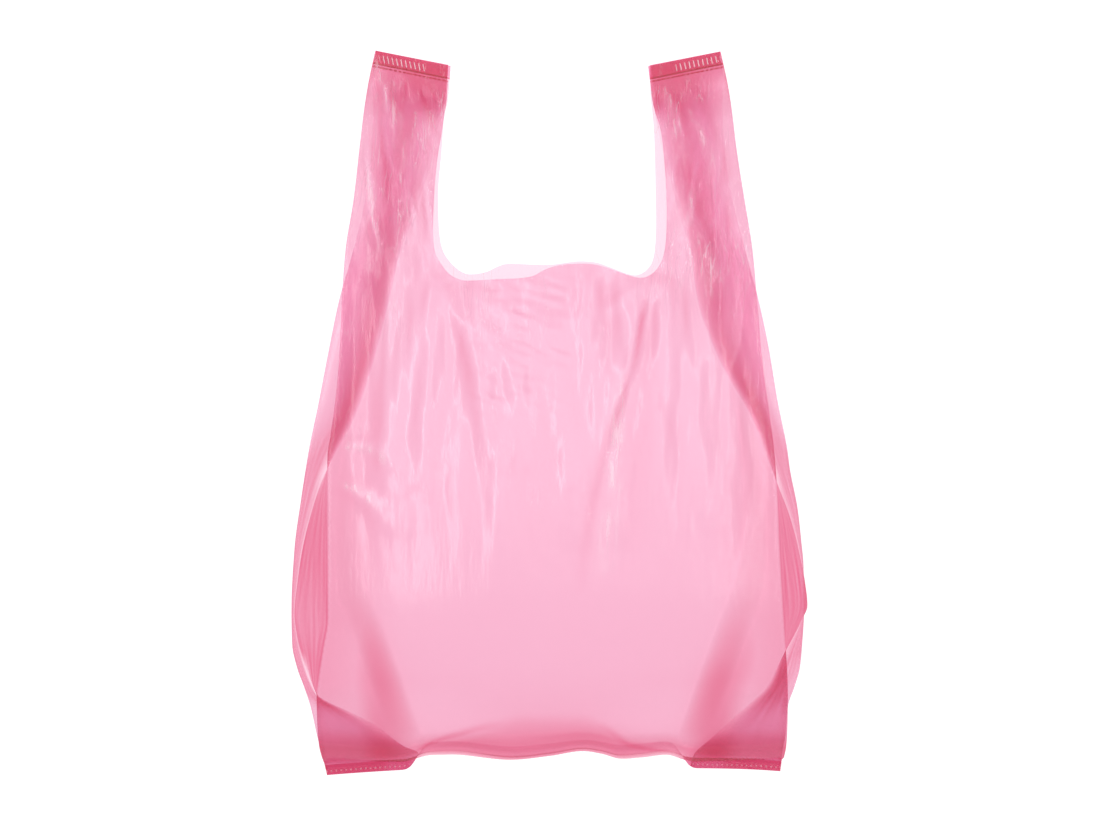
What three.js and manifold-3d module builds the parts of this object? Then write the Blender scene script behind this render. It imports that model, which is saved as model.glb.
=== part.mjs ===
// Vest carrier bag of thin blown film, part filled with air and lying on its back panel.
// It is one piece: a tube of film with a gusset folded into each side, die cut through
// all its layers for the neck, and welded across the bottom and across each handle top.
// Millimetres. +X across the bag, +Y towards the handles, +Z out of the front panel.

import * as THREE from "three";
import { mergeVertices } from "three/addons/utils/BufferGeometryUtils.js";
import Module from "manifold-3d";

// Film. The wall is drawn thick enough to be a solid; real film is about 0.02 mm.
const FILM = 0.3;
const LAYER_GAP = 0.3;
const CREASE = 2 * FILM + LAYER_GAP;
const STACK = 2 * CREASE + LAYER_GAP;

// Welds, with the loose skirt of film that the sealing bar leaves outside them.
const WELD_WIDTH = 3;
const WELD_PROUD = 0.1;
const WELD_TRIM = 0.8;
const BOTTOM_SKIRT = 7;
const HANDLE_SKIRT = 10;
const BOTTOM_HALF = 155;

// Handles, which lean in and so have tilted tops.
const HANDLE_INNER = 68.3;
const HANDLE_OUTER = 118.5;
const HANDLE_TILT = THREE.MathUtils.degToRad(11.5);
const HANDLE_TOP_Y = 234.5;

// Neck: handle edges, the round corners at their feet, and the mouth edge between them.
const NECK_HALF = 74;
const CORNER_TOP_Y = 122;
const CORNER_LOW_X = 57;
const CORNER_LOW_Y = 92.5;
const MOUTH_MIDDLE_Y = 100.5;

// The flat patch that the bag lies on.
const FLOOR_HALF = 92;
const FLOOR_LOW_Y = -196;
const FLOOR_HIGH_Y = 84;

// Turned-under weld: the middle of the bottom weld is drawn up and under the belly.
const TURN_UP = 12;
const TURN_DOWN = 5.5;
const TURN_REACH_Y = 60;
const TURN_REACH_Z = 45;

// Stations up the bag, from the end of the bottom skirt to above the handle tops.
const STATION_Y = [-246, -236, -222, -200, -165, -110, -50, 10, 60, 100, 125, 150, 195, 219, 256];

// At each station: the two creases, the gusset fold between them, how far the front panel
// bulges and the gusset bows, and how far the handle's front and back strips stand apart.
const along = {
  frontX: [154, 154.5, 155.5, 155, 152.5, 149.5, 147.5, 144, 139.5, 136, 133.3, 130.5, 125, 121.5, 116],
  frontZ: [8.1, 8.1, 27, 46, 62, 70, 71, 67, 60, 51, 44, 36, 19, 5.1, 5.1],
  foldX: [91, 93, 112, 146, 166, 171, 156, 134, 117, 100, 84, 69, 62, 58, 52],
  backX: [154, 154.5, 157, 160, 164, 165, 163.5, 155.5, 146.5, 139.5, 135, 131, 125, 121.5, 116],
  backZ: [6, 6, 5, 5, 6, 8, 9, 9, 7, 6, 5, 4, 3, 3, 3],
  bulge: [0, 0, 9, 16, 19, 20, 20, 19, 16, 12, 9, 6, 1, 0, 0],
  gussetBow: [0, 0, 1, 4, 6, 5, 2, 0, 0, 0, 0, 0, 0, 0, 0],
  slot: [0, 0, 0, 0, 0, 0, 0, 0, 0, 0, 5, 14, 9, 0, 0],
};
const LOWEST_BACK = 3;
const FLAT_HANDLE_Y = 219;

// Fineness of the lofts.
const PANEL_STEPS = 9;
const GUSSET_STEPS = 2;
const ROW_STEP = 17;
const END_ROW_STEP = 6;

const curveAt = (values) => {
  const curve = new THREE.CubicInterpolant(STATION_Y, values, 1);
  return (y) => curve.evaluate(y)[0];
};
const at = Object.fromEntries(Object.entries(along).map(([key, values]) => [key, curveAt(values)]));

const smooth = (x, low, high) => THREE.MathUtils.smoothstep(x, low, high);

// Height of the back panel's middle: on the floor in the body, lifted towards both ends.
const backMiddle = (y) => {
  const low = 1 - smooth(y, STATION_Y[1], FLOOR_LOW_Y);
  const high = smooth(y, FLOOR_HIGH_Y, FLAT_HANDLE_Y);
  return low * along.backZ[0] + high * LOWEST_BACK;
};

// Half section of the tube, from the middle of the front panel round to the back.
function halfSection(y) {
  const frontX = at.frontX(y);
  const frontZ = Math.max(at.frontZ(y), at.backZ(y) + STACK);
  const backX = at.backX(y);
  const backZ = at.backZ(y);
  const foldX = at.foldX(y);
  const bulge = Math.max(at.bulge(y), 0);
  const bow = Math.max(at.gussetBow(y), 0);
  const middle = backMiddle(y);
  const flat = FLOOR_HALF / backX;
  const spread = (frontZ - backZ - STACK) / 2;
  const foldZ = backZ + CREASE + LAYER_GAP / 2 + spread;
  const points = [];
  for (let i = 0; i <= PANEL_STEPS; i++) {
    const t = i / PANEL_STEPS;
    points.push([frontX * t, frontZ + bulge * (1 - t * t)]);
  }
  const gussetFront = [frontX, frontZ - CREASE];
  const pocket = LAYER_GAP + Math.min(Math.max(at.slot(y), 0), 2 * spread);
  const foldUpper = [foldX, foldZ + pocket / 2];
  const foldLower = [foldX, foldZ - pocket / 2];
  const gussetBack = [backX, backZ + CREASE];
  const bowed = (from, to, t) => [
    THREE.MathUtils.lerp(from[0], to[0], t) + bow * 4 * t * (1 - t),
    THREE.MathUtils.lerp(from[1], to[1], t),
  ];
  for (let i = 0; i <= GUSSET_STEPS; i++) {
    points.push(bowed(gussetFront, foldUpper, i / GUSSET_STEPS));
  }
  for (let i = 0; i <= GUSSET_STEPS; i++) {
    points.push(bowed(foldLower, gussetBack, i / GUSSET_STEPS));
  }
  for (let i = PANEL_STEPS; i >= 0; i--) {
    const t = i / PANEL_STEPS;
    const rise = THREE.MathUtils.clamp((t - flat) / (1 - flat), 0, 1);
    points.push([backX * t, middle + (backZ - middle) * rise * rise]);
  }
  return points;
}

// Whole section, as a closed ring of [x, z].
function section(y) {
  const half = halfSection(y);
  const mirrored = half.slice(1, -1).reverse().map(([x, z]) => [-x, z]);
  return half.concat(mirrored);
}

// The same ring moved into the film by its wall, each corner along its bisector.
function inset(ring, wall) {
  const count = ring.length;
  const side = (a, b) => {
    const length = Math.hypot(b[0] - a[0], b[1] - a[1]);
    return [(b[1] - a[1]) / length, -(b[0] - a[0]) / length];
  };
  return ring.map((point, i) => {
    const before = side(ring[(i + count - 1) % count], point);
    const after = side(point, ring[(i + 1) % count]);
    const scale = wall / Math.max(1 + before[0] * after[0] + before[1] * after[1], 0.35);
    return [point[0] + (before[0] + after[0]) * scale, point[1] + (before[1] + after[1]) * scale];
  });
}

// Rows are close together at the two ends, where the tube flattens.
function rowHeights() {
  const rows = [];
  const first = STATION_Y[0];
  const last = STATION_Y[STATION_Y.length - 1];
  let y = first;
  while (y < last - 1) {
    rows.push(y);
    const nearEnd = y < -180 || y > 215;
    y += nearEnd ? END_ROW_STEP : ROW_STEP;
  }
  rows.push(last);
  return rows;
}

const wasm = await Module();
wasm.setup();

function solidOf(geometry) {
  const bare = new THREE.BufferGeometry();
  bare.setAttribute("position", geometry.attributes.position);
  bare.setIndex(geometry.index);
  const merged = mergeVertices(bare, 1e-4);
  const vertProperties = new Float32Array(merged.attributes.position.array);
  const triVerts = new Uint32Array(merged.index.array);
  return new wasm.Manifold(new wasm.Mesh({ numProp: 3, vertProperties, triVerts }));
}

function geometryOf(solid) {
  const mesh = solid.getMesh();
  const geometry = new THREE.BufferGeometry();
  geometry.setAttribute("position", new THREE.BufferAttribute(new Float32Array(mesh.vertProperties), 3));
  geometry.setIndex(new THREE.BufferAttribute(new Uint32Array(mesh.triVerts), 1));
  return geometry;
}

// The tube's wall: an outer and an inner skin round the section, joined by a band at each end.
// Both skins split their quads along the same diagonal, so they stay parallel where they twist.
function tubeWall() {
  const rows = rowHeights();
  const outer = rows.map((y) => section(y));
  const inner = outer.map((ring) => inset(ring, FILM));
  const count = outer[0].length;
  const place = (ring, row) => ring.flatMap(([x, z]) => [x, rows[row], z]);
  const positions = outer.flatMap(place).concat(inner.flatMap(place));
  const index = [];
  const quad = (a, b, c, d) => index.push(a, c, b, a, d, c);
  const outside = (row, k) => row * count + (k % count);
  const inside = (row, k) => (rows.length + row) * count + (k % count);
  const last = rows.length - 1;
  for (let k = 0; k < count; k++) {
    for (let row = 0; row < last; row++) {
      quad(outside(row, k), outside(row + 1, k), outside(row + 1, k + 1), outside(row, k + 1));
      quad(inside(row, k), inside(row, k + 1), inside(row + 1, k + 1), inside(row + 1, k));
    }
    quad(outside(0, k), outside(0, k + 1), inside(0, k + 1), inside(0, k));
    quad(outside(last, k), inside(last, k), inside(last, k + 1), outside(last, k + 1));
  }
  const geometry = new THREE.BufferGeometry();
  geometry.setAttribute("position", new THREE.Float32BufferAttribute(positions, 3));
  geometry.setIndex(index);
  return solidOf(geometry);
}

// The die that cuts the neck out, and everything above the handle tops.
function neckDie() {
  const reach = 200;
  const topOuterY = HANDLE_TOP_Y + Math.tan(HANDLE_TILT) * (reach - HANDLE_INNER);
  const die = new THREE.Shape();
  die.moveTo(HANDLE_INNER, HANDLE_TOP_Y);
  die.bezierCurveTo(HANDLE_INNER + 3, 195, NECK_HALF, 160, NECK_HALF, CORNER_TOP_Y);
  die.bezierCurveTo(NECK_HALF, 104, CORNER_LOW_X + 11, CORNER_LOW_Y, CORNER_LOW_X, CORNER_LOW_Y);
  die.bezierCurveTo(CORNER_LOW_X - 18, CORNER_LOW_Y, 34, MOUTH_MIDDLE_Y, 0, MOUTH_MIDDLE_Y);
  die.bezierCurveTo(-34, MOUTH_MIDDLE_Y, 18 - CORNER_LOW_X, CORNER_LOW_Y, -CORNER_LOW_X, CORNER_LOW_Y);
  die.bezierCurveTo(-CORNER_LOW_X - 11, CORNER_LOW_Y, -NECK_HALF, 104, -NECK_HALF, CORNER_TOP_Y);
  die.bezierCurveTo(-NECK_HALF, 160, -HANDLE_INNER - 3, 195, -HANDLE_INNER, HANDLE_TOP_Y);
  die.lineTo(-reach, topOuterY);
  die.lineTo(-reach, 300);
  die.lineTo(reach, 300);
  die.lineTo(reach, topOuterY);
  die.closePath();
  const geometry = new THREE.ExtrudeGeometry(die, { depth: 150, bevelEnabled: false, curveSegments: 8 });
  geometry.translate(0, 0, -20);
  return solidOf(geometry);
}

// A weld is one bar through the whole stack of layers.
function weldBar(length, x, y, z, tilt) {
  const trimmed = length - 2 * WELD_TRIM;
  const steps = Math.ceil(trimmed / ROW_STEP);
  const geometry = new THREE.BoxGeometry(trimmed, WELD_WIDTH, STACK + 2 * WELD_PROUD, steps, 1, 1);
  geometry.rotateZ(tilt);
  geometry.translate(x, y, z + STACK / 2);
  return solidOf(geometry);
}

function handleWeld(side) {
  const length = (HANDLE_OUTER - HANDLE_INNER) / Math.cos(HANDLE_TILT);
  const x = (HANDLE_INNER + HANDLE_OUTER) / 2 + HANDLE_SKIRT * Math.sin(HANDLE_TILT);
  const topY = HANDLE_TOP_Y + Math.tan(HANDLE_TILT) * (HANDLE_OUTER - HANDLE_INNER) / 2;
  const y = topY - (HANDLE_SKIRT + WELD_WIDTH / 2) * Math.cos(HANDLE_TILT);
  return weldBar(length, side * x, y, LOWEST_BACK, side * HANDLE_TILT);
}

// Draws the middle of the bottom weld up and under, and leaves its corners out.
function turnUnder(geometry) {
  const position = geometry.attributes.position;
  const weldY = STATION_Y[0] + BOTTOM_SKIRT;
  for (let i = 0; i < position.count; i++) {
    const across = Math.min(Math.abs(position.getX(i)) / BOTTOM_HALF, 1);
    const above = Math.max(position.getY(i) - weldY, 0);
    const height = position.getZ(i);
    const near = (1 - smooth(above, 0, TURN_REACH_Y)) * (1 - across ** 3);
    const low = 1 - smooth(height, 0, TURN_REACH_Z);
    position.setY(i, position.getY(i) + TURN_UP * near * low);
    position.setZ(i, height - TURN_DOWN * near * Math.min(low, height / along.backZ[0]));
  }
}

function carrierBag() {
  const tube = tubeWall().subtract(neckDie());
  const bottomY = STATION_Y[0] + BOTTOM_SKIRT + WELD_WIDTH / 2;
  const bottomWeld = weldBar(2 * BOTTOM_HALF, 0, bottomY, along.backZ[0], 0);
  const bag = tube.add(bottomWeld).add(handleWeld(1)).add(handleWeld(-1));
  const geometry = geometryOf(bag);
  turnUnder(geometry);
  geometry.computeBoundingBox();
  const box = geometry.boundingBox;
  geometry.translate(0, -(box.min.y + box.max.y) / 2, -box.min.z);
  return geometry;
}

const film = new THREE.MeshStandardMaterial({ color: 0xf096b6, roughness: 0.35, metalness: 0 });
const filmBag = new THREE.Mesh(carrierBag(), film);
filmBag.name = "film_bag";

const object = new THREE.Group();
object.add(filmBag);

export default object;
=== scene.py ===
import math

import bpy
import numpy as np
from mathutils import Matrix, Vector
from mathutils.geometry import delaunay_2d_cdt


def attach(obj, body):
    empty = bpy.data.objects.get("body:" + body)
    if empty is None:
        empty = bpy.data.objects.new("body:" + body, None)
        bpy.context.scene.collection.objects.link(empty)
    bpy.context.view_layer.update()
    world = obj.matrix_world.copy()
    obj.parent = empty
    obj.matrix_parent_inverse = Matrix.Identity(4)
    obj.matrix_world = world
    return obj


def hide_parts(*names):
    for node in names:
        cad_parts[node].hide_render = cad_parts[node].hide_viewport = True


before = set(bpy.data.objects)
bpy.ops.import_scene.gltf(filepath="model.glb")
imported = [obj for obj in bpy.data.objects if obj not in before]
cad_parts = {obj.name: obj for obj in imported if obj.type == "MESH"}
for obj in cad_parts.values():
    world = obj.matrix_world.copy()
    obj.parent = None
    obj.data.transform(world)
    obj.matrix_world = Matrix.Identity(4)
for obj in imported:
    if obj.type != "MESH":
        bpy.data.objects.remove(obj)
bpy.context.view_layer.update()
scene = bpy.context.scene


# ---------------------------------------------------------------------------------------
# The table it lies on: a white board with a low glow, under a soft box and two long strip
# lights. The bag is seen from straight above. Lengths here are in metres.
# ---------------------------------------------------------------------------------------

CAMERA_HEIGHT = 2.2
VIEW_WIDTH = 0.748
SENSOR = 36.0
STRIP_LENGTH = 3.6
ROOM_LIGHT = 0.5
BOARD_SIZE = 6.0
BOARD_GREY = 0.12
BOARD_GLOW = 1.03
WHITE = (1, 1, 1, 1)

camera_data = bpy.data.cameras.new("camera")
camera_data.sensor_width = SENSOR
camera_data.lens = SENSOR * CAMERA_HEIGHT / VIEW_WIDTH
camera = bpy.data.objects.new("camera", camera_data)
camera.location = (0, 0, CAMERA_HEIGHT)
scene.collection.objects.link(camera)
scene.camera = camera


def soft_box(name, place, target, size, power):
    light = bpy.data.lights.new(name, "AREA")
    light.shape = "RECTANGLE"
    light.size, light.size_y = size
    light.energy = power
    box = bpy.data.objects.new(name, light)
    box.location = place
    aim = Vector(target) - Vector(place)
    box.rotation_euler = aim.to_track_quat("-Z", "Y").to_euler()
    scene.collection.objects.link(box)


soft_box("top_light", (0.1, 0.5, 2.6), (0, 0, 0), (2.0, 2.0), 16)
soft_box("left_light", (-0.8, 1.25, 1.9), (-0.05, 1.25, 0.05), (STRIP_LENGTH, 0.1), 20)
soft_box("right_light", (0.95, 1.3, 1.7), (0.05, 1.3, 0.05), (STRIP_LENGTH, 0.08), 12)

world = bpy.data.worlds.new("room")
world.use_nodes = True
world.node_tree.nodes["Background"].inputs["Color"].default_value = WHITE
world.node_tree.nodes["Background"].inputs["Strength"].default_value = ROOM_LIGHT
scene.world = world
scene.view_settings.view_transform = "Standard"
scene.cycles.transparent_max_bounces = 24
scene.cycles.max_bounces = 6

bpy.ops.mesh.primitive_plane_add(size=BOARD_SIZE)
floor = bpy.context.object
floor.name = "floor"
floor_material = bpy.data.materials.new("light_table")
floor_material.use_nodes = True
board = floor_material.node_tree.nodes["Principled BSDF"]
board.inputs["Base Color"].default_value = (BOARD_GREY, BOARD_GREY, BOARD_GREY, 1)
board.inputs["Roughness"].default_value = 0.9
board.inputs["Specular IOR Level"].default_value = 0.1
board.inputs["Emission Color"].default_value = WHITE
board.inputs["Emission Strength"].default_value = BOARD_GLOW
floor.data.materials.append(floor_material)


# ---------------------------------------------------------------------------------------
# The film: one tube of thin blown polyethylene with a gusset folded into each side. Its
# lines run up the bag: two front creases, two back creases, and the middle fold of each
# gusset. Part filled with air, it lies on its back panel.
# ---------------------------------------------------------------------------------------

# From here on lengths are in millimetres, with x to the right and y up the bag. Each line
# gives a value at every height, through (height, value) stations.
MM = 0.001
BOTTOM_Y = -246.0
WELD_Y = -239.0
SLIT_Y = 104.0
TOP_Y = 240.6
LEFT, RIGHT = -1, 1
FILM_SIDE = 2.7
LAYER_GAP = 0.42


def follow(stations):
    """A smooth line through (height, value) stations that never overshoots them."""
    at = np.array([s[0] for s in stations], float)
    value = np.array([s[1] for s in stations], float)
    step = np.diff(at)
    slope = np.diff(value) / step
    tangent = np.zeros_like(value)
    turn = slope[1:] * slope[:-1] > 0
    weight_a = 2 * step[1:] + step[:-1]
    weight_b = step[1:] + 2 * step[:-1]
    inner = (weight_a + weight_b) / (
        weight_a / np.where(turn, slope[:-1], 1) + weight_b / np.where(turn, slope[1:], 1)
    )
    tangent[1:-1] = np.where(turn, inner, 0)
    tangent[0], tangent[-1] = slope[0], slope[-1]

    def line(y):
        y = np.clip(np.asarray(y, float), at[0], at[-1])
        i = np.clip(np.searchsorted(at, y, side="right") - 1, 0, len(step) - 1)
        t = (y - at[i]) / step[i]
        a = (1 + 2 * t) * (1 - t) ** 2
        b = t * (1 - t) ** 2
        c = t * t * (3 - 2 * t)
        d = t * t * (t - 1)
        return a * value[i] + b * step[i] * tangent[i] + c * value[i + 1] + d * step[i] * tangent[i + 1]

    return line


def smooth(x, low, high):
    """An eased step, from 0 at low to 1 at high."""
    t = np.clip((np.asarray(x, float) - low) / (high - low), 0, 1)
    return t * t * (3 - 2 * t)


def between(x, start, full, ease, end):
    """An eased mask: 1 from full to ease, and 0 outside start and end."""
    return smooth(x, start, full) * (1 - smooth(x, ease, end))


# Distance of each line from the middle of the bag.
front_x = {
    LEFT: follow([
        (-246, 151), (-238, 152.7), (-191, 154.6), (-155, 150), (-137, 147), (-29, 146.5), (-15, 144.6),
        (8, 141.5), (41, 139), (75, 137.9), (108, 136), (142, 131.3), (177, 128), (212, 124.2),
        (241, 118.4),
    ]),
    RIGHT: follow([
        (-246, 156), (-238, 157), (-191, 157.6), (-143, 154.8), (-84, 151.1), (-67, 150.4),
        (-29, 147.9), (4, 144), (27, 140.9), (63, 138), (108, 134.7), (142, 130), (177, 125.3),
        (212, 121.5), (241, 115.6),
    ]),
}
back_x = {
    LEFT: follow([
        (-246, 151), (-236, 153.4), (-218, 157), (-198, 161), (-184, 165.5), (-172, 170), (-156, 173.6),
        (-127, 174.4), (-93, 172.9), (-59, 168.6), (-25, 163.3), (8, 156.5), (42, 150), (76, 143),
        (108, 134), (144, 125.5), (178, 121), (205, 120), (222, 121), (241, 118),
    ]),
    RIGHT: follow([
        (-246, 156), (-236, 157), (-218, 158.8), (-198, 160), (-184, 164.5), (-172, 168), (-156, 169.8),
        (-129, 171.5), (-105, 171.4), (-85, 169.8), (-66, 167.8), (-38, 162.5), (-25, 160.8),
        (8, 154.2), (42, 148.6), (76, 141.5), (108, 133), (144, 124), (178, 118.5), (205, 117),
        (222, 117.5), (241, 115.2),
    ]),
}
fold_x = {
    LEFT: follow([
        (-246, 88), (-238, 89), (-226, 99), (-216, 109), (-208, 119), (-199, 136), (-189, 154.6),
        (-180, 159.5), (-165, 164.5), (-150, 168.4), (-134, 170.4), (-112, 168.2), (-93, 165.4),
        (-70, 160), (-48, 153), (-30, 145), (-5, 131.5), (35, 118), (75, 108), (109, 100.5),
        (143, 90.6), (170, 82), (196, 78), (206, 74), (215, 71.5), (241, 69.4),
    ]),
    RIGHT: follow([
        (-246, 95), (-238, 97), (-226, 103), (-206, 121), (-195, 133), (-183, 145), (-168, 152.5),
        (-157, 158), (-148, 163), (-138, 168), (-129, 171.7), (-109, 169.5), (-96, 166.8), (-78, 162.6),
        (-66, 158.8), (-52, 153.4), (-36, 147.5), (-5, 135.5), (35, 113.5), (75, 99), (109, 94.4),
        (143, 87), (170, 80), (218, 71.5), (241, 68.4),
    ]),
}

# Height of each crease above the table, how far the front panel bulges above its creases,
# how round the gusset halves are, and how wide the slit between the handle strips stands.
front_z = follow([
    (-246, 8.4), (-239, 8.4), (-233, 16), (-222, 31), (-210, 45), (-200, 51), (-165, 62), (-110, 69),
    (-50, 71), (10, 67), (60, 60), (100, 51), (125, 44), (150, 36), (195, 17), (218, 6.2), (241, 5.2),
])
back_z = follow([
    (-246, 7), (-236, 8.5), (-215, 20), (-185, 25), (-150, 21), (-110, 14), (-50, 9), (60, 7), (100, 6),
    (150, 4.5), (195, 4), (218, 4), (241, 3.6),
])
bulge = follow([
    (-246, 0), (-239, 0), (-233, 9), (-227, 15), (-219, 18.6), (-200, 19), (-165, 19), (-110, 19),
    (-50, 19), (10, 19), (60, 17), (100, 12), (150, 6), (200, 1), (216, 0), (241, 0),
])
fold_round = follow([
    (-246, 0.1), (-225, 0.5), (-190, 0.3), (-150, 0.0), (-60, 0.0), (-25, 0.3), (10, 0.9), (110, 1),
    (170, 0.9), (215, 0.3), (241, 0),
])
slit_gap = follow([(-246, 0), (104, 0), (120, 5), (150, 10), (180, 8), (205, 3), (220, 0), (241, 0)])

# Where the flat part of the back panel ends, out from the middle, and the height of that
# flat part. In the steep band the film climbs to the corners of the base.
rest_edge = follow([
    (-246, 78), (-226, 84), (-190, 96), (-150, 110), (-110, 122), (-60, 128), (60, 110), (100, 88),
    (160, 76), (241, 60),
])
back_middle = follow([
    (-246, 8.0), (-238, 8.0), (-231, 4.6), (-221, 1.4), (-200, 0.6), (90, 0.6), (130, 0.9), (180, 1.8),
    (222, 3.6), (241, 3.6),
])
STEEP_BAND = 24.0
LEAST_CLIMB = 12.0

# The front panel rises sooner near the corners of the base, and is squarer there.
CORNER_RISE = 0.9
CORNER_REACH = 62.0
CORNER_SQUARE = 1.2


def crease_of(lines, x, y):
    return np.where(x < 0, lines[LEFT](y), lines[RIGHT](y))


def front_form(x, y):
    """Height of the front panel."""
    corner = CORNER_RISE * smooth(np.abs(x), 15, 100) * (1 - smooth(y, WELD_Y, WELD_Y + CORNER_REACH))
    y = y + (y - WELD_Y) * np.where(y > WELD_Y, corner, 0)
    q = np.clip(np.abs(x) / crease_of(front_x, x, y), 0, 1)
    square = 2 + CORNER_SQUARE * smooth(-y, 190, 236)
    return front_z(y) + bulge(y) * (1 - q**square)


def back_form(x, y):
    """Height of the back panel: on the table in the middle, lifted towards its creases."""
    out = crease_of(back_x, x, y)
    start = np.minimum(rest_edge(y), out - LEAST_CLIMB)
    t = np.clip((np.abs(x) - start) / (out - start), 0, 1)
    gentle = 0.55 * smooth(t, 0, 0.55) + 0.45 * t**1.6
    steep = 0.85 * smooth(np.abs(x) - start, 0, STEEP_BAND) + 0.15 * t
    corner = smooth(-y, 105, 165)
    rise = gentle + (steep - gentle) * corner
    return back_middle(y) + (back_z(y) - back_middle(y)) * rise


def gusset_form(side, half, a, y):
    """A point of a gusset half: a is 1 at its crease and 0 at the middle fold."""
    crease_x = (front_x if half > 0 else back_x)[side](y)
    crease_z = front_z(y) if half > 0 else back_z(y)
    middle = (front_z(y) + back_z(y)) / 2
    inner_z = middle + half * (slit_gap(y) + LAYER_GAP) / 2
    inner_x = fold_x[side](y) - (1 - half) * smooth(y, SLIT_Y, SLIT_Y + 30)
    round_off = fold_round(y)
    across = a ** (1 + 0.5 * round_off)
    up = (1 - round_off) * a + round_off * np.sin(a * math.pi / 2)
    x = inner_x + (crease_x - inner_x) * across
    z = inner_z + (crease_z - inner_z) * up
    return side * x, z


# Rows of film up the bag, equally spaced along the middle of the front panel.
fine_y = np.linspace(BOTTOM_Y, TOP_Y, 4001)
profile = front_form(np.zeros_like(fine_y), fine_y)
travel = np.concatenate([[0], np.cumsum(np.hypot(np.diff(fine_y), np.diff(profile)))])
row_count = int(round(travel[-1] / (FILM_SIDE * math.sqrt(0.75))))
rows = np.interp(np.linspace(0, travel[-1], row_count + 1), travel, fine_y)


# ---------------------------------------------------------------------------------------
# Panels: the die cuts the neck out of the flat tube, which leaves two handles and a
# mouth edge with round corners. The back panel's edge shows a little past the front's.
# ---------------------------------------------------------------------------------------

PANEL_FRONT, PANEL_BACK, GUSSET_FRONT, GUSSET_BACK = 0, 1, 2, 3
CREASE_PALE = 14.0
CREASE_SLACK = 1e-3
front_neck = {
    LEFT: [
        (-69, 241), (-70.5, 211), (-76, 165), (-77.6, 130), (-76.5, 108), (-71.6, 97.8), (-66, 91.1),
        (-58.2, 87.5), (-49.4, 87.2), (-35, 88), (-19.9, 88.6), (-10.9, 90.2), (-3, 94.5), (6, 97.2),
    ],
    RIGHT: [
        (68, 241), (68.8, 221), (71.2, 207), (74.8, 190), (76.8, 165), (77.6, 130), (75.8, 107),
        (71.3, 95.8), (65, 90.2), (58, 89), (49, 91.5), (38, 95.5), (28, 98), (16, 98.2),
    ],
}
back_neck = {
    LEFT: [
        (-69, 241), (-71, 219), (-73.8, 178), (-76, 151), (-75.4, 124), (-73, 110.5), (-67.7, 102),
        (-60.2, 95.6), (-53.4, 93.9), (-43.2, 95.6), (-35, 99.4), (-28, 101.2), (-14, 100.6),
        (0, 100.4),
    ],
    RIGHT: [
        (67.4, 241), (68.2, 221), (69.6, 206), (70.8, 190), (71.8, 151), (72, 122), (70.2, 104.5),
        (65.3, 96.6), (58.6, 93.3), (51, 94.8), (41, 98.7), (31, 102), (20, 102.8), (11, 101.8),
    ],
}


def run_through(points, spacing):
    """Points at equal spacing along a smooth line through the given ones."""
    points = np.array(points, float)
    ends = np.vstack([2 * points[0] - points[1], points, 2 * points[-1] - points[-2]])
    t = np.linspace(0, 1, 24, endpoint=False)[:, None]
    pieces = []
    for a, b, c, d in zip(ends, ends[1:], ends[2:], ends[3:]):
        bend = (2 * a - 5 * b + 4 * c - d) * t**2 + (3 * b - a - 3 * c + d) * t**3
        pieces.append(0.5 * (2 * b + (c - a) * t + bend))
    line = np.vstack(pieces + [points[-1:]])
    along = np.concatenate([[0], np.cumsum(np.hypot(*np.diff(line, axis=0).T))])
    count = max(2, int(round(along[-1] / spacing)))
    at = np.linspace(0, along[-1], count + 1)
    return np.column_stack([np.interp(at, along, line[:, 0]), np.interp(at, along, line[:, 1])])


def straight(a, b):
    """Points between two corners of a panel, without the corners."""
    count = int(round(np.hypot(*(b - a)) / FILM_SIDE))
    return np.linspace(a, b, count + 1)[1:-1]


def panel(lines, neck):
    """Triangles of a panel in plan: crease points on every row, the neck line, and rows between."""
    left_crease = np.column_stack([-lines[LEFT](rows), rows])
    right_crease = np.column_stack([lines[RIGHT](rows), rows])
    neck_line = run_through(neck[LEFT] + neck[RIGHT][::-1], FILM_SIDE)
    outline = np.vstack([
        left_crease,
        straight(left_crease[-1], neck_line[0]),
        neck_line,
        straight(neck_line[-1], right_crease[-1]),
        right_crease[::-1],
        straight(right_crease[0], left_crease[0]),
    ])
    inside = []
    for k, y in enumerate(rows[1:-1]):
        low, high = -lines[LEFT](y), lines[RIGHT](y)
        count = int(round((high - low) / FILM_SIDE))
        shift = 0.5 * (k % 2) - 0.25
        across = low + (high - low) * (np.arange(1, count) + shift) / count
        inside.append(np.column_stack([across, np.full(count - 1, y)]))
    inside = np.vstack(inside)
    apart = inside[:, None] - neck_line[None]
    to_neck = np.min(np.hypot(apart[..., 0], apart[..., 1]), axis=1)
    inside = inside[to_neck > 0.6 * FILM_SIDE]
    points = [Vector(p) for p in np.vstack([outline, inside])]
    loop = list(range(len(outline)))
    verts, _, faces, *_ = delaunay_2d_cdt(points, [], [loop], 1, 1e-6)
    assert len(verts) <= len(points)
    return np.array(verts), np.array([f for f in faces if len(f) == 3])


def pale_crease(x, y):
    """How much paler, nearly clear, the film is made along the back creases in the handles."""
    near = 1 - smooth(crease_of(back_x, x, y) - np.abs(x), 0, CREASE_PALE)
    return near * between(y, 85, 130, 218, 234)


film_points = []
film_faces = []
film_plan = []
film_layer = []
film_pale = []
crease_numbers = {}


def point_count():
    return sum(len(points) for points in film_points)


def add_film(points, faces, plan, layer, pale):
    film_points.append(points)
    film_faces.append(faces)
    film_plan.append(plan)
    film_layer.append(np.full(len(points), layer))
    film_pale.append(pale)


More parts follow.
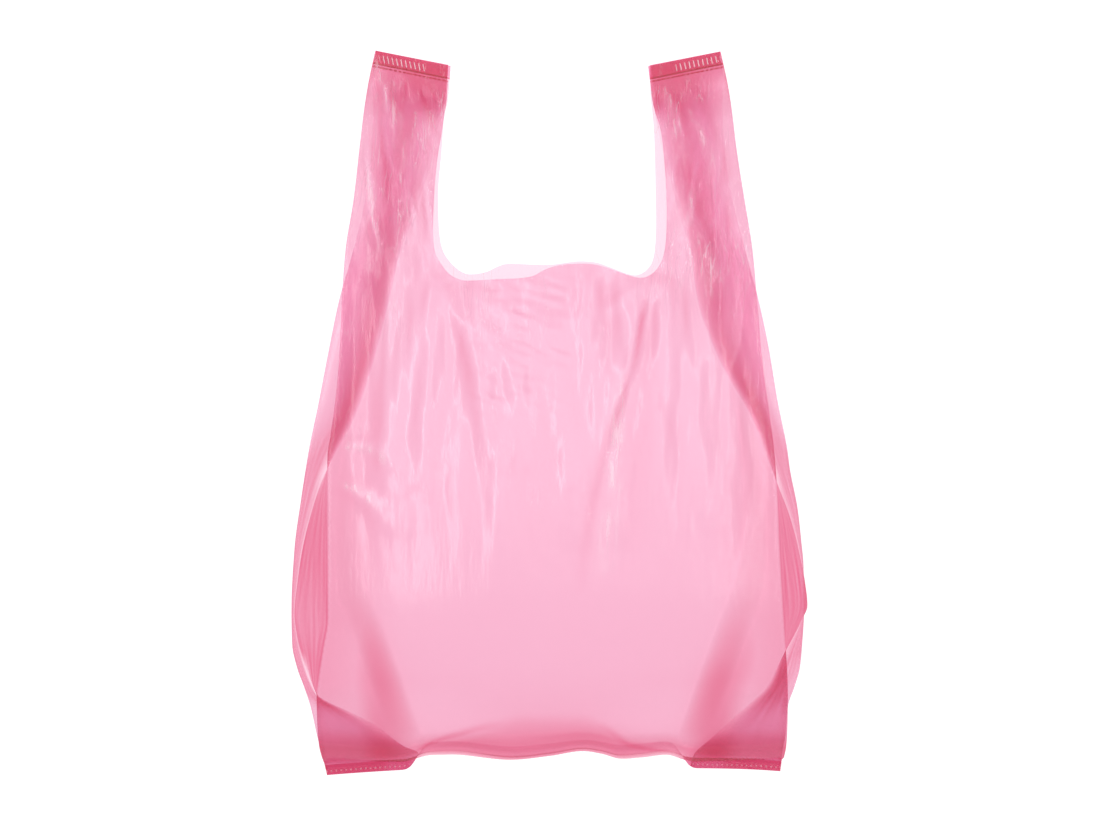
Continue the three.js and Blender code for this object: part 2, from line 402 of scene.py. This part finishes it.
def number_crease(name, side, plan, line, start):
    """Finds the crease points of a panel, row by row, for the gusset to join."""
    found = []
    for y in rows:
        away = np.hypot(plan[:, 0] - side * line(y), plan[:, 1] - y)
        nearest = int(np.argmin(away))
        assert away[nearest] < CREASE_SLACK, (name, side, y)
        found.append(start + nearest)
    crease_numbers[name, side] = np.array(found)


start = point_count()
plan, faces = panel(front_x, front_neck)
add_film(np.column_stack([plan, front_form(*plan.T)]), faces + start, plan, PANEL_FRONT, np.zeros(len(plan)))
number_crease("front", LEFT, plan, front_x[LEFT], start)
number_crease("front", RIGHT, plan, front_x[RIGHT], start)

start = point_count()
plan, faces = panel(back_x, back_neck)
faces = faces[:, ::-1]
add_film(np.column_stack([plan, back_form(*plan.T)]), faces + start, plan, PANEL_BACK, pale_crease(*plan.T))
number_crease("back", LEFT, plan, back_x[LEFT], start)
number_crease("back", RIGHT, plan, back_x[RIGHT], start)


# ---------------------------------------------------------------------------------------
# Gussets: each side of the tube is folded in to a middle fold, 63 mm deep when flat. The
# neck die cuts that fold off in the handles, which leaves a slit between two strips.
# ---------------------------------------------------------------------------------------

GUSSET_DEPTH = 63.0
FOLD_PALE = 32.0
CORNER_PALE = 24.0
BACK_PALE = 0.45
columns = int(round(GUSSET_DEPTH / FILM_SIDE))


def weave(number):
    """Triangles between rows and columns of point numbers, with diagonals both ways in turn."""
    quads = np.stack([number[:-1, :-1], number[:-1, 1:], number[1:, 1:], number[1:, :-1]], axis=-1)
    odd = (np.add.outer(np.arange(quads.shape[0]), np.arange(quads.shape[1])) % 2)[..., None]
    one = np.where(odd, quads[..., [0, 1, 2]], quads[..., [0, 1, 3]])
    two = np.where(odd, quads[..., [0, 2, 3]], quads[..., [1, 2, 3]])
    return np.vstack([one.reshape(-1, 3), two.reshape(-1, 3)])


def pale_fold(half, from_fold, y):
    """How much paler, nearly clear, the film is made along the middle fold."""
    width = CORNER_PALE + (FOLD_PALE - CORNER_PALE) * smooth(y, -160, -60)
    inside = smooth(y, -60, -25) + between(y, -228, -210, -176, -156)
    if half < 0:
        inside = inside + BACK_PALE * smooth(y, -224, -206)
    return (1 - smooth(from_fold, 0, width)) * np.minimum(inside, 1) * (1 - smooth(y, 190, 215))


for side in (LEFT, RIGHT):
    fold_numbers = None
    for half, layer, crease in ((1, GUSSET_FRONT, "front"), (-1, GUSSET_BACK, "back")):
        grid_a, grid_y = np.meshgrid(np.linspace(1, 0, columns + 1)[1:], rows)
        x, z = gusset_form(side, half, grid_a, grid_y)
        points = np.column_stack([x.ravel(), grid_y.ravel(), z.ravel()])
        number = point_count() + np.arange(len(points)).reshape(grid_a.shape)
        if fold_numbers is not None:  # the two halves share the fold below the slit
            shared = rows <= SLIT_Y
            number[shared, -1] = fold_numbers[shared]
        fold_numbers = number[:, -1]
        faces = weave(np.column_stack([crease_numbers[crease, side], number]))
        if side * half > 0:
            faces = faces[:, ::-1]
        from_crease = GUSSET_DEPTH * (1 - half * grid_a)
        plan = np.column_stack([side * from_crease.ravel(), grid_y.ravel()])
        pale = pale_fold(half, grid_a * GUSSET_DEPTH, grid_y).ravel()
        if half < 0:
            pale = np.maximum(pale, pale_crease(points[:, 0], points[:, 1]))
        add_film(points, faces, plan, layer, pale)

points = np.vstack(film_points)
faces = np.vstack(film_faces)
used = np.unique(faces)
renumber = np.full(len(points), -1)
renumber[used] = np.arange(len(used))
faces = renumber[faces]
points = points[used]
plan = np.vstack(film_plan)[used]
layer = np.concatenate(film_layer)[used]
pale = np.concatenate(film_pale)[used]


# ---------------------------------------------------------------------------------------
# Welds: the film's layers melted together across the base and across each handle top. The
# handle tops tilt. The middle of the base is drawn up under the belly with its skirt
# tucked in, while its corners stand out.
# ---------------------------------------------------------------------------------------

HANDLE_MIDDLE = 94.0
HANDLE_TILT = math.tan(math.radians(11.5))
BASE_HALF = 155.0
TURN_UP = 6.5
RIGHT_TURN_UP = 3.0
TURN_LOW_Z, TURN_HIGH_Z = 8.0, 30.0
TUCK_FULL, TUCK_NONE = 79.0, 101.0
TUCK_TURN = 0.93 * math.pi
TUCK_DROP = 0.68
FILM_CLEARANCE = 0.4
rim_line = follow([
    (-112, 0), (-86, 4.5), (-68, 4.5), (-24, -1.2), (0, 1.3), (23, 4.8), (35, 3.4), (47, 0.8),
    (62, 2.4), (78, 4.6), (92, 2.5), (112, 0),
])


def set_down(p):
    """Tilts the handle tops and tucks the base in, for every layer alike."""
    x, y, z = p.T
    y = y + HANDLE_TILT * (np.abs(x) - HANDLE_MIDDLE) * smooth(y, 150, 235)
    out = np.clip(np.abs(x) / BASE_HALF, 0, 1)
    below = np.maximum(WELD_Y - y, 0)
    tuck = 1 - smooth(np.abs(x), TUCK_FULL, TUCK_NONE)
    lift = TURN_UP * (1 - out**2) + RIGHT_TURN_UP * smooth(x, 60, BASE_HALF)
    low = 1 - smooth(z, TURN_LOW_Z, TURN_HIGH_Z)
    near = 1 - smooth(y, -240, -190)
    y = y + below * (1 - np.cos(TUCK_TURN * tuck))
    y = y + lift * low * near
    y = y + rim_line(x) * tuck * (1 - smooth(y, -236, -205))
    z = z - TUCK_DROP * tuck * below
    return np.column_stack([x, y, np.maximum(z, FILM_CLEARANCE)])


# ---------------------------------------------------------------------------------------
# Wrinkles: thin film creases wherever it is drawn in. Long soft folds hang from the two
# corners of the mouth, and finer ripples run up and down. They fade out at the creases,
# the welds and the neck edge.
# ---------------------------------------------------------------------------------------

# Each fold is a path from its root, its height, its width and its lean.
HANDLE_FOLDS = [
    ([(-118, 230), (-109, 208), (-101, 182), (-94, 150)], 2.6, 4.2, 0.6),
    ([(-104, 226), (-97, 204), (-93, 186), (-90, 170)], 1.6, 2.6, 1.3),
    ([(-88, 205), (-89, 188), (-91, 168), (-95, 140)], 1.8, 2.8, 0.7),
    ([(-112, 190), (-106, 166), (-100, 140), (-97, 112)], 2.0, 3.6, 1.4),
    ([(-122, 150), (-116, 130), (-112, 112), (-110, 92)], 2.0, 3.4, 0.7),
    ([(-128, 118), (-120, 96), (-112, 80), (-106, 60)], 2.2, 4.0, 1.2),
    ([(76, 226), (84, 204), (90, 184), (94, 160)], 2.4, 3.6, 1.5),
    ([(84, 216), (88, 196), (90, 178), (92, 160)], 1.6, 2.6, 0.7),
    ([(94, 222), (103, 196), (110, 172), (113, 146)], 2.0, 3.4, 1.4),
    ([(104, 186), (108, 164), (110, 142), (112, 118)], 1.7, 2.6, 0.7),
    ([(92, 150), (98, 126), (106, 104), (112, 84)], 2.0, 3.6, 1.3),
    ([(118, 130), (116, 108), (114, 90), (110, 66)], 1.8, 3.2, 0.8),
]
FOLDS = [
    ([(-69, 84), (-54, 46), (-45, 8), (-34, -42)], 4.2, 9, 1.3),
    ([(-74, 92), (-76, 50), (-80, 0), (-84, -60)], 3.0, 9, 1.2),
    ([(-76, 84), (-92, 40), (-104, -10), (-108, -70)], 2.6, 11, 0.9),
    ([(-60, 84), (-30, 66), (0, 54), (22, 50)], 1.8, 6, 1.0),
    ([(-58, 82), (-36, 44), (-20, 6), (-14, -40)], 2.4, 7, 1.1),
    ([(71, 98), (66, 80), (58, 58), (50, 26), (38, -11), (26, -54)], 4.6, 6.5, 0.55),
    ([(74, 92), (72, 50), (62, 0), (52, -40), (44, -90)], 3.0, 8, 1.2),
    ([(78, 88), (92, 40), (100, -20), (104, -80)], 2.6, 11, 1.0),
    ([(62, 86), (40, 70), (20, 62), (0, 60)], 1.4, 6, 1.0),
    ([(34, 60), (30, 10), (20, -40), (16, -90)], 2.0, 9, 1.0),
    ([(-20, 60), (-26, 0), (-34, -60), (-36, -134)], 2.0, 8, 1.0),
    ([(-140, -20), (-118, -22), (-100, -34), (-88, -52)], 2.4, 7, 1.0),
    ([(-142, -48), (-122, -56), (-108, -70), (-90, -78)], 1.8, 7, 1.0),
]

# Each ripple is its height and its wavelengths across and along the film.
BELLY_RIPPLES = [(0.9, 34, 420), (0.24, 11, 150)]
HANDLE_RIPPLES = [(0.85, 17, 120), (0.42, 8, 48)]
MOUTH_RIPPLE = (0.34, 8.5, 60)
MOUTH_Y = 98.0
HANDLE_SPREAD = 0.14
LEAST_RIPPLE = 0.04

noise_seed = np.random.default_rng(41)


def streaks(x, y, across, lengthwise, count=260):
    """A smooth random field of unit strength with the given wavelengths across and along the film."""
    angle = noise_seed.normal(0, 0.12, count)
    kx = noise_seed.normal(1, 0.35, count) * 2 * math.pi / across
    ky = noise_seed.normal(0, 1, count) * 2 * math.pi / lengthwise
    kx, ky = kx * np.cos(angle) - ky * np.sin(angle), kx * np.sin(angle) + ky * np.cos(angle)
    phase = noise_seed.uniform(0, 2 * math.pi, count)
    total = np.zeros_like(x)
    for a, b, c in zip(kx, ky, phase):
        total += np.cos(a * x + b * y + c)
    return total * math.sqrt(2 / count)


def fold(x, y, path, height, width, lean=1.0):
    """A long fold down a path: lean above 1 makes its right flank steeper than its left."""
    line = run_through(path, 2.0)
    at = np.linspace(0, 1, len(line))
    total = np.zeros_like(x)
    step = 4000
    for start in range(0, len(x), step):
        px, py = x[start : start + step], y[start : start + step]
        d = np.hypot(px[:, None] - line[None, :, 0], py[:, None] - line[None, :, 1])
        near = np.argmin(d, axis=1)
        along = at[near]
        ahead = line[np.minimum(near + 1, len(line) - 1)] - line[np.maximum(near - 1, 0)]
        sign = np.sign(ahead[:, 0] * (py - line[near, 1]) - ahead[:, 1] * (px - line[near, 0]))
        spread = width * (0.55 + 0.75 * along) * np.where(sign > 0, lean, 1 / lean)
        fade = np.sin(math.pi * np.clip(along, 0, 1) ** 0.7) ** 0.8
        total[start : start + step] = height * fade * np.exp(-((d.min(axis=1) / spread) ** 2))
    return total


def wrinkle(x, y, edge):
    """Height of the front panel's wrinkles; edge is the distance in from its creases."""
    under_mouth = smooth(MOUTH_Y - y, 0, 14) + smooth(np.abs(x), 74, 84) * smooth(y, 60, 100)
    belly = smooth(edge, 0, 26) * smooth(y, -236, -205) * np.clip(under_mouth, 0, 1)
    handle = smooth(edge, 0, 8) * between(y, 70, 130, 214, 230)
    total = np.zeros_like(x)
    for path, height, width, lean in FOLDS:
        total += fold(x, y, path, height, width, lean)
    calm = LEAST_RIPPLE + (1 - LEAST_RIPPLE) * smooth(y, -135, 45)
    for height, across, lengthwise in BELLY_RIPPLES:
        total += height * calm * streaks(x, y, across, lengthwise)
    height, across, lengthwise = MOUTH_RIPPLE
    near_mouth = between(x, -62, -40, 0, 22) * between(y, -10, 12, 84, 94)
    total += height * near_mouth * streaks(y + 0.35 * x, x, across, lengthwise)
    total *= belly * (1 - smooth(y, 80, 130))
    upright = x - np.sign(x) * HANDLE_SPREAD * (y - 170)
    for height, across, lengthwise in HANDLE_RIPPLES:
        total += handle * height * streaks(upright, y, across, lengthwise)
    for path, height, width, lean in HANDLE_FOLDS:
        total += handle * fold(x, y, path, height, width, lean)
    return total


x, y = plan.T
front = layer == PANEL_FRONT
gusset = layer >= GUSSET_FRONT
edge = np.maximum(crease_of(front_x, x, y) - np.abs(x), 0)
push = np.zeros(len(points))
push[front] = wrinkle(x[front], y[front], edge[front])


# ---------------------------------------------------------------------------------------
# Values painted at every point of the film: painted shade, which deepens its tint in bands
# along folds, creases and the base corners and partly stands for film gathered in fine
# puckers; a paler, nearly clear film along folds, creases and the rim; and a painted sheen
# of whitish highlights.
# ---------------------------------------------------------------------------------------

# Painted shade bands and painted sheen highlights are paths with their strength and width.
# The shade bands at the base corners run on below the weld, so that they are at full
# strength there.
CORNER_SHADE_BANDS = [
    ([(-128, -40), (-119, -150), (-113, -195), (-111, -240), (-111, -480)], 0.42, 17),
    ([(142, -40), (129, -146), (116, -178), (110, -205), (109, -240), (109, -480)], 0.48, 18),
]
PAINTED_SHADE_BANDS = [
    ([(-98, -236), (-82, -223), (-66, -215), (-44, -208), (-20, -204)], 0.30, 2.6),
    ([(98, -236), (80, -231), (53, -221), (43, -214), (34, -208), (18, -204)], 0.33, 2.8),
    ([(-69, 84), (-58, 46), (-45, 8), (-34, -42)], 0.10, 9),
    (
        [
            (71.7, 98), (68, 88), (59, 61), (52.7, 40), (47.3, 8.5), (38.4, -11), (32.3, -40),
            (24, -80), (20, -120),
        ],
        0.22, 3.4,
    ),
    ([(74, 95), (68, 50), (63, 8), (56, -40), (50, -90)], 0.12, 12),
    ([(-82, 83), (-80, 40), (-79, 0), (-80, -46)], 0.07, 8),
    ([(-80, 226), (-90, 202), (-101, 176), (-106, 146), (-112, 112), (-118, 80)], 0.16, 8),
    ([(84, 222), (88, 200), (92, 165), (101, 130), (104, 95), (108, 60)], 0.18, 7.5),
]
PAINTED_SHEENS = [
    ([(-120, 238), (-110, 214), (-102, 192), (-95, 158)], 4.6),
    ([(-91, 206), (-92, 190), (-95, 170)], 2.2),
    ([(-122, 168), (-119, 140), (-117, 112), (-119, 88)], 4.0),
    ([(-80, 208), (-82, 196), (-86, 178)], 3.4),
    ([(76, 226), (82, 210), (86, 190), (87, 164)], 3.2),
    ([(94, 206), (100, 190), (107, 172), (110, 150)], 2.2),
    ([(97, 152), (93, 136), (90, 122)], 2.6),
    ([(103, 112), (106, 96), (106, 74)], 3.6),
    ([(46, 30), (44, -10), (40, -60), (34, -112)], 5.0),
    ([(-136, -22), (-120, -25), (-104, -33)], 3.4),
    ([(-140, -46), (-124, -52), (-110, -64)], 3.0),
]

# The top of a darker zone of painted shade above the middle of the base.
belly_dome = follow([
    (-100, -232), (-84, -226), (-60, -218), (-16, -202), (21, -202), (47, -217), (82, -229),
    (100, -233),
])
DOME_SHADE = 0.15
EDGE_SHADE = 0.22
LOW_DARKENING = 0.07
TOP_SHADE = 0.62
STRIP_SHADE = 0.22
STRIP_STREAKS = 0.06
CORNER_LIGHTER = 0.19
RIM_LIGHTER = 0.16
RIM_PALE = 0.6
SKIRT_PALE = 0.85
SLIVER_PALE = 0.5
SLIVER_Y = -234.6


def shade_and_gather(x, y, edge):
    """How much the front panel's tint deepens: painted shade in bands along folds and creases, darker
    towards the bottom and at the handle tops, partly film gathered in fine puckers.
    """
    total = EDGE_SHADE * (1 - smooth(edge, 0, 52)) * (1 - smooth(y, -60, 60))
    dome = belly_dome(x)
    under_dome = (1 - smooth(y, dome - 5, dome + 7)) * (1 - smooth(np.abs(x), 88, 104))
    total = np.maximum(total, DOME_SHADE * under_dome)
    for path, depth, width in CORNER_SHADE_BANDS:
        total = np.maximum(total, fold(x, y, path, depth, width) * smooth(-y, 100, 200))
    for path, depth, width in PAINTED_SHADE_BANDS:
        total = np.maximum(total, fold(x, y, path, depth, width))
    total *= 1 - 0.7 * smooth(np.abs(x), 116, 142) * (1 - smooth(y, -205, -185))
    total *= 0.2 + 0.8 * smooth(y, -240, -226)
    total -= RIM_LIGHTER * (1 - smooth(y, -237, -224)) * (1 - smooth(np.abs(x), 84, 100))
    total += LOW_DARKENING * (1 - smooth(y, -100, 50)) - 0.02 * between(y, -20, 60, 95, 130)
    return total + TOP_SHADE * smooth(y, 200, 224) * (1 - 0.4 * smooth(np.abs(x), 90, 110))


# Painted shade on the front panel and the front gusset strips, with random streaks on the gussets, lighter
# at the gussets' base corners.
painted_shade_and_gather = np.zeros(len(points))
# Painted light on the wrinkles' ridges and painted shade in their valleys.
ridge_light_valley_shade = (0.02 + 0.03 * smooth(y[front], 90, 140)) * push[front]
painted_shade_and_gather[front] = shade_and_gather(x[front], y[front], edge[front]) - ridge_light_valley_shade
strip = layer == GUSSET_FRONT
painted_shade_and_gather[strip] = STRIP_SHADE * between(y[strip], -214, -184, -80, -10)
strip_streaks = STRIP_STREAKS * streaks(x[gusset], y[gusset], 13, 150)
painted_shade_and_gather[gusset] += strip_streaks * between(y[gusset], -230, -190, -60, 40)
painted_shade_and_gather[gusset] -= CORNER_LIGHTER * (1 - smooth(y[gusset], -212, -188))

# Paler, nearly clear film on the tucked base skirt, along the front rim and in a thin sliver on the right of
# the base.
tucked = 1 - smooth(np.abs(points[:, 0]), 84, 96)
skirt_pale = SKIRT_PALE * tucked * smooth(WELD_Y - y, -5, 0.5)
rim_pale = RIM_PALE * tucked * smooth(WELD_Y - y, -9, -4)
sliver_pale = SLIVER_PALE * np.exp(-(((y - SLIVER_Y) / 1.8) ** 2)) * between(x, 92, 104, 128, 148)
pale = np.maximum(pale, skirt_pale)
pale[front] = np.max([pale, rim_pale, sliver_pale], axis=0)[front]

# Painted sheen: whitish painted highlights along paths on the front panel.
painted_sheen = np.zeros(len(points))
for path, width in PAINTED_SHEENS:
    painted_sheen[front] = np.maximum(painted_sheen[front], fold(x[front], y[front], path, 1.0, width))

points[:, 2] += push
points = set_down(points)


# ---------------------------------------------------------------------------------------
# The finish of the film: pink tint that deepens layer on layer and where the film stands
# on edge, a milky haze, and a soft gloss on fine crinkles. Painted highlights are mixed
# in: dashes along the base weld, leaning lines on the handle skirts' pleats, the handles'
# crinkle lines, and a painted sheen in streaks on the front panel.
# ---------------------------------------------------------------------------------------

FACE_ON = (0.957, 0.748, 0.842, 1)
ON_EDGE = (0.76, 0.06, 0.20, 1)
SEALED = (0.885, 0.385, 0.545, 1)
FAINT = (0.995, 0.95, 0.97, 1)
GLOSS_TINT = (0.75, 0.25, 0.42, 1)
HAZE_TINT = (0.85, 0.40, 0.58, 1)
GLINT_TINT = (1, 0.9, 0.94, 1)

# Places on the flat film in metres, each as where its mask starts, is full, eases and ends.
BASE_SKIRT = (-0.2394, -0.2386)
BASE_WELD = (-0.2442, -0.2438, -0.2430, -0.2426)
DASHED_WELD = (0.2290, 0.2294, 0.2299, 0.2303)
WHOLE_WELD = (0.2311, 0.2315, 0.2321, 0.2326)
TOP_SKIRT = (0.2320, 0.2326)
PLEATS = (0.2330, 0.2338, 0.2372, 0.2386)
PLEATS_ACROSS = (0.083, 0.087, 0.112, 0.118)
HANDLES = (0.035, 0.10, 0.222, 0.229)

# Turns of a sine to a metre, in radians, for the dashes and the leaning pleats.
DASH_TURN = 1900.0
PLEAT_TURN = 2090.0
PLEAT_LEAN = 420.0

MOST_SLANT = 0.45
BODY_SHARE = 0.15
HAZE_SHARE = 0.3
PALE_SHARE = 0.93
WELD_DENSE = 0.8
PLEAT_GLINT = 0.46
DASH_GLINT = 0.2
CRINKLE_GLINT = 0.13

film_material = bpy.data.materials.new("pink_film")
film_material.use_nodes = True
tree = film_material.node_tree
tree.nodes.clear()


class Sock:
    """A shader socket that takes Python's operators as Math nodes."""

    def __init__(self, socket):
        self.socket = socket

    @staticmethod
    def node(kind, settings=None, outputs=0, **values):
        made = tree.nodes.new(kind)
        for key, value in (settings or {}).items():
            setattr(made, key, value)
        for key, value in values.items():
            name = key.replace("_", " ")
            target = made.inputs[int(key[1:])] if key[0] == "i" and key[1:].isdigit() else made.inputs[name]
            if isinstance(value, Sock):
                tree.links.new(value.socket, target)
            else:
                target.default_value = value
        return Sock(made.outputs[outputs])

    def _math(self, operation, other, flip=False):
        a, b = (other, self) if flip else (self, other)
        return Sock.node("ShaderNodeMath", {"operation": operation}, i0=a, i1=b)

    def __add__(self, other):
        return self._math("ADD", other)

    __radd__ = __add__

    def __sub__(self, other):
        return self._math("SUBTRACT", other)

    def __rsub__(self, other):
        return self._math("SUBTRACT", other, True)

    def __mul__(self, other):
        return self._math("MULTIPLY", other)

    __rmul__ = __mul__

    def __pow__(self, other):
        return self._math("POWER", other)

    def __abs__(self):
        return Sock.node("ShaderNodeMath", {"operation": "ABSOLUTE"}, i0=self)

    def sine(self):
        return Sock.node("ShaderNodeMath", {"operation": "SINE"}, i0=self)

    def at_most(self, most):
        return self._math("MINIMUM", most)


def ramp(value, low, high):
    """An eased step, from 0 at low to 1 at high."""
    eased = {"interpolation_type": "SMOOTHSTEP"}
    return Sock.node("ShaderNodeMapRange", eased, Value=value, From_Min=low, From_Max=high)


def band(value, start, full, ease, end):
    """An eased mask: 1 from full to ease, and 0 outside start and end."""
    return ramp(value, start, full) * (1 - ramp(value, ease, end))


def state(name):
    """A state of the film, painted on its points."""
    return Sock.node("ShaderNodeAttribute", {"attribute_name": name}, outputs=2)


def see_through(tint):
    return Sock.node("ShaderNodeBsdfTransparent", Color=tint)


def mix(share, first, second):
    return Sock.node("ShaderNodeMixShader", i0=share, i1=first, i2=second)


def grain(across, lengthwise, **settings):
    """Smooth noise in the flat film, with the given count to a metre across and along it."""
    scaled = {"operation": "MULTIPLY"}
    place = Sock.node("ShaderNodeVectorMath", scaled, i0=flat_film, i1=(across, lengthwise, 1.0))
    return Sock.node("ShaderNodeTexNoise", {"noise_dimensions": "2D"}, Vector=place, Scale=1.0, **settings)


# The sealed skirts, the weld lines, and the painted highlights on the base weld's dashes and on the pleats.
flat_film = Sock.node("ShaderNodeUVMap", {"uv_map": "film"})
split = tree.nodes.new("ShaderNodeSeparateXYZ")
tree.links.new(flat_film.socket, split.inputs[0])
film_x, film_y = Sock(split.outputs[0]), Sock(split.outputs[1])
from_middle = abs(film_x)
dash = (film_x * DASH_TURN).sine()
base_skirt = (1 - ramp(film_y, *BASE_SKIRT)) * ramp(from_middle, 0.083, 0.092)
top_skirt = ramp(film_y, *TOP_SKIRT)
# Painted highlights in dashes along the base weld.
base_weld_highlights = band(film_y, *BASE_WELD) * ramp(dash, 0.2, 0.7) * ramp(from_middle, 0.09, 0.1)
dashed_weld = band(film_y, *DASHED_WELD) * ramp(dash, -0.5, 0.1)
whole_weld = band(film_y, *WHOLE_WELD)
# Painted highlights in leaning lines on the handle skirts' pleats.
pleat_highlights = ramp((film_x * PLEAT_TURN + film_y * PLEAT_LEAN).sine(), 0.55, 0.95)
pleat_highlights = pleat_highlights * band(film_y, *PLEATS) * band(from_middle, *PLEATS_ACROSS)

# The clear sheet, with its tint.
facing = Sock.node("ShaderNodeLayerWeight", outputs=1, Blend=0.5)
slant = (facing**1.1).at_most(MOST_SLANT)
weld = dashed_weld * WELD_DENSE + whole_weld * WELD_DENSE
# The painted shade deepens the tint here, together with the slant and the welds.
clear = mix(slant + state("painted_shade_and_gather") + weld, see_through(FACE_ON), see_through(ON_EDGE))
clear = mix(base_skirt + top_skirt, clear, see_through(SEALED))

# Fine crinkles all over, and thin crinkle lines in patches on the handles, raised in the bump and given
# painted highlights.
crinkle = grain(260.0, 46.0, Detail=3.0, Roughness=0.6)
crinkles_and_painted_glints = 1 - ramp(abs(grain(150.0, 19.0, Detail=2.0, Roughness=0.5) - 0.5), 0.0, 0.026)
patch = ramp(grain(34.0, 15.0, Detail=1.0), 0.50, 0.62)
zone = band(film_y, *HANDLES) + 0.25 * ramp(film_y, -0.15, -0.05)
crinkles_and_painted_glints = crinkles_and_painted_glints * patch * zone
relief = crinkle * (0.6 + ramp(film_y, 0.05, 0.12)) + crinkles_and_painted_glints * 0.8
bump = Sock.node("ShaderNodeBump", Strength=0.4, Distance=0.0008, Height=relief)

# The gloss and the haze on the sheet, the paler folds, and the painted highlights: a whitish shader mixed in
# on the pleats, the weld dashes, the crinkle lines and the painted sheen.
skin = Sock.node("ShaderNodeBsdfPrincipled", Base_Color=GLOSS_TINT, Roughness=0.2, IOR=3.2, Normal=bump)
haze = Sock.node("ShaderNodeBsdfTranslucent", Color=HAZE_TINT)
glint = Sock.node("ShaderNodeBsdfPrincipled", Base_Color=GLINT_TINT, Roughness=0.3)
film = mix(BODY_SHARE, clear, mix(HAZE_SHARE, skin, haze))
film = mix(state("pale") * PALE_SHARE, film, see_through(FAINT))
# The painted sheen, brighter on the crests of the fine crinkles.
sheen = state("painted_sheen") * (0.07 + 0.28 * ramp(crinkle, 0.42, 0.68))
glints = pleat_highlights * PLEAT_GLINT + base_weld_highlights * DASH_GLINT + crinkles_and_painted_glints * CRINKLE_GLINT + sheen
film = mix(glints, film, glint)
surface = tree.nodes.new("ShaderNodeOutputMaterial")
tree.links.new(film.socket, surface.inputs["Surface"])


# ---------------------------------------------------------------------------------------
# The sheet: the whole tube as one mesh, joined along its creases and folds. Opened out it
# is as wide as both panels and four gusset halves.
# ---------------------------------------------------------------------------------------

mesh = bpy.data.meshes.new("film_bag_sheet")
mesh.from_pydata((points * MM).tolist(), [], faces.tolist())
mesh.update()
bag = bpy.data.objects.new("film_bag_sheet", mesh)
scene.collection.objects.link(bag)
for polygon in mesh.polygons:
    polygon.use_smooth = True
mesh.materials.append(film_material)
for name, value in (("pale", pale), ("painted_shade_and_gather", painted_shade_and_gather), ("painted_sheen", painted_sheen)):
    mesh.attributes.new(name, "FLOAT", "POINT").data.foreach_set("value", value)
flat = mesh.uv_layers.new(name="film")
loop_points = np.empty(len(mesh.loops), dtype=np.int64)
mesh.loops.foreach_get("vertex_index", loop_points)
flat.data.foreach_set("uv", (plan[loop_points] * MM).ravel())

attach(bag, "root")
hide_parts("film_bag")
